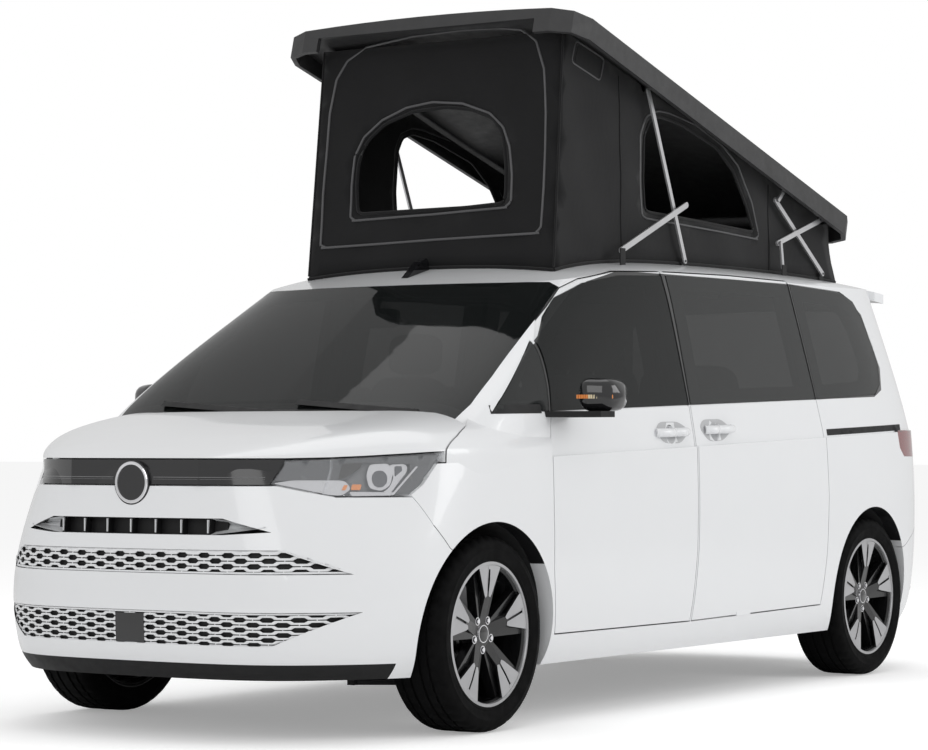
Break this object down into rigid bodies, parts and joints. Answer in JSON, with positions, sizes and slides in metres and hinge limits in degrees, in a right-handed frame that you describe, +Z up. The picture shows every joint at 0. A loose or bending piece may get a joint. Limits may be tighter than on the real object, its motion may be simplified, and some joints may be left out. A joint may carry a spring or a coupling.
{
  "type": "camper van with lifting roof",
  "caption": "Camper van with a raised roof and fabric tent, opening doors, bonnet and tailgate, steered front wheels.",
  "frame": {"origin": "on the ground, midway along the length and on the centre plane, below the bounding box's centre", "axes": "+Z up, -Y forward, +X to the vehicle's left"},
  "size_m": [2.21, 4.8272, 2.7181],
  "materials": {
    "white_paint": "gloss white lacquer",
    "under_coat": "matt black",
    "black_plastic": "grained black",
    "black_gloss": "piano black",
    "lamp_glass": "clear lamp cover",
    "red_lens": "red lens",
    "tinted_glass": "dark tint",
    "dash_plastic": "grained dark grey",
    "seat_fabric": "dark woven cloth",
    "cabinet": "grey laminate",
    "cast_metal": "cast",
    "tyre": "black rubber",
    "alloy": "machined and black",
    "steel": "brushed",
    "lid_shell": "textured black shell",
    "tent_cloth": "near-black canvas"
  },
  "bodies": {
    "root": {"body_shell": "white_paint", "floor_pan": "under_coat", "cowl": "black_plastic", "front_bumper": "white_paint", "front_grille": "black_plastic", "front_strip": "black_gloss", "front_lip": "black_plastic", "sensor_cover": "black_gloss", "headlamps": "lamp_glass", "tail_lamps": "red_lens", "rear_bumper": "white_paint", "windscreen": "tinted_glass", "sliding_door_left": "white_paint", "sliding_door_right": "white_paint", "side_glass": "tinted_glass", "dashboard": "dash_plastic", "front_seats": "seat_fabric", "rear_bench": "seat_fabric", "kitchen_unit": "cabinet", "roof_bed": "cabinet", "engine_block": "cast_metal", "front_subframe": "under_coat", "rear_axle": "under_coat", "exhaust": "steel", "energy_tank": "black_plastic", "antenna_fin": "black_gloss", "wipers": "black_plastic", "link_brackets": "black_plastic", "tent": "tent_cloth"},
    "bonnet": {"bonnet": "white_paint"},
    "tailgate": {"tailgate": "white_paint", "tailgate_glass": "tinted_glass", "spoiler": "white_paint"},
    "door_left": {"door_front_left": "white_paint", "door_glass_left": "tinted_glass", "mirror_left": "black_gloss"},
    "door_right": {"door_front_right": "white_paint", "door_glass_right": "tinted_glass", "mirror_right": "black_gloss"},
    "steered_left": {"knuckle_left": "cast_metal"},
    "steered_right": {"knuckle_right": "cast_metal"},
    "wheel_front_left": {"tyre_front_left": "tyre", "rim_front_left": "alloy"},
    "wheel_front_right": {"tyre_front_right": "tyre", "rim_front_right": "alloy"},
    "wheel_rear_left": {"tyre_rear_left": "tyre", "rim_rear_left": "alloy"},
    "wheel_rear_right": {"tyre_rear_right": "tyre", "rim_rear_right": "alloy"},
    "steering_wheel": {"steering_wheel": "dash_plastic"},
    "lid": {"roof_lid": "lid_shell"},
    "front_struts": {"front_struts": "steel"},
    "front_braces": {"front_braces": "steel"},
    "rear_arms_a": {"rear_arms_a": "steel"},
    "rear_arms_b": {"rear_arms_b": "steel"},
    "rear_links_a": {"rear_links_a": "steel"},
    "rear_links_b": {"rear_links_b": "steel"}
  },
  "joints": [
    {"name": "steer_left", "type": "hinge", "parent": "root", "child": "steered_left", "pos_m": [0.745, -1.535, 0.346], "axis": [0, 0, 1], "range_deg": [-32, 32]},
    {"name": "door_front_left", "type": "hinge", "parent": "root", "child": "door_left", "pos_m": [0.948, -1.157, 0.8], "axis": [0, 0, -1], "range_deg": [0, 70]},
    {"name": "wheel_front_left_spin", "type": "hinge", "parent": "steered_left", "child": "wheel_front_left", "pos_m": [0.806, -1.535, 0.346], "axis": [1, 0, 0], "continuous": true},
    {"name": "wheel_rear_left_spin", "type": "hinge", "parent": "root", "child": "wheel_rear_left", "pos_m": [0.806, 1.589, 0.346], "axis": [1, 0, 0], "continuous": true},
    {"name": "steer_right", "type": "hinge", "parent": "root", "child": "steered_right", "pos_m": [-0.745, -1.535, 0.346], "axis": [0, 0, 1], "range_deg": [-32, 32]},
    {"name": "door_front_right", "type": "hinge", "parent": "root", "child": "door_right", "pos_m": [-0.948, -1.157, 0.8], "axis": [0, 0, 1], "range_deg": [0, 70]},
    {"name": "wheel_front_right_spin", "type": "hinge", "parent": "steered_right", "child": "wheel_front_right", "pos_m": [-0.806, -1.535, 0.346], "axis": [1, 0, 0], "continuous": true},
    {"name": "wheel_rear_right_spin", "type": "hinge", "parent": "root", "child": "wheel_rear_right", "pos_m": [-0.806, 1.589, 0.346], "axis": [1, 0, 0], "continuous": true},
    {"name": "steering_wheel_turn", "type": "hinge", "parent": "root", "child": "steering_wheel", "pos_m": [0.405, -0.915, 1.01], "axis": [0, 0.8829, 0.4695], "range_deg": [-450, 450]},
    {"name": "bonnet_lift", "type": "hinge", "parent": "root", "child": "bonnet", "pos_m": [0, -1.5, 1.165], "axis": [-1, 0, 0], "range_deg": [0, 55]},
    {"name": "tailgate_lift", "type": "hinge", "parent": "root", "child": "tailgate", "pos_m": [0, 2.114, 1.79], "axis": [1, 0, 0], "range_deg": [0, 80]},
    {"name": "roof_lid_lift", "type": "hinge", "parent": "root", "child": "lid", "pos_m": [0, 2.463, 1.79], "axis": [1, 0, 0], "range_deg": [0, 15.04], "deforming": ["tent"]},
    {"name": "front_struts_fold", "type": "hinge", "parent": "root", "child": "front_struts", "pos_m": [0, 0.389, 1.772], "axis": [1, 0, 0], "range_deg": [0, 65.7]},
    {"name": "front_braces_fold", "type": "hinge", "parent": "root", "child": "front_braces", "pos_m": [0, -0.168, 1.784], "axis": [1, 0, 0], "range_deg": [-22.18, 0]},
    {"name": "rear_arms_a_fold", "type": "hinge", "parent": "root", "child": "rear_arms_a", "pos_m": [0, 1.683, 1.785], "axis": [1, 0, 0], "range_deg": [0, 32.83]},
    {"name": "rear_links_b_fold", "type": "hinge", "parent": "root", "child": "rear_links_b", "pos_m": [0, 1.223, 1.79], "axis": [1, 0, 0], "range_deg": [0, 80.38]},
    {"name": "rear_links_a_fold", "type": "hinge", "parent": "lid", "child": "rear_links_a", "pos_m": [0, 1.285, 2.141], "axis": [1, 0, 0], "range_deg": [-54.8, 0]},
    {"name": "rear_arms_b_fold", "type": "hinge", "parent": "lid", "child": "rear_arms_b", "pos_m": [0, 1.624, 2.02], "axis": [1, 0, 0], "range_deg": [-31.98, 0]}
  ],
  "couplings": [
    {"joint": "steer_right", "follows": "steer_left", "ratio": 1},
    {"joint": "steering_wheel_turn", "follows": "steer_left", "ratio": 14},
    {"joint": "front_struts_fold", "follows": "roof_lid_lift", "ratio": 4.3554},
    {"joint": "front_braces_fold", "follows": "roof_lid_lift", "ratio": -1.4617},
    {"joint": "rear_arms_a_fold", "follows": "roof_lid_lift", "ratio": 2.1695},
    {"joint": "rear_links_b_fold", "follows": "roof_lid_lift", "ratio": 5.3312},
    {"joint": "rear_links_a_fold", "follows": "roof_lid_lift", "ratio": -3.6303},
    {"joint": "rear_arms_b_fold", "follows": "roof_lid_lift", "ratio": -2.1128}
  ]
}
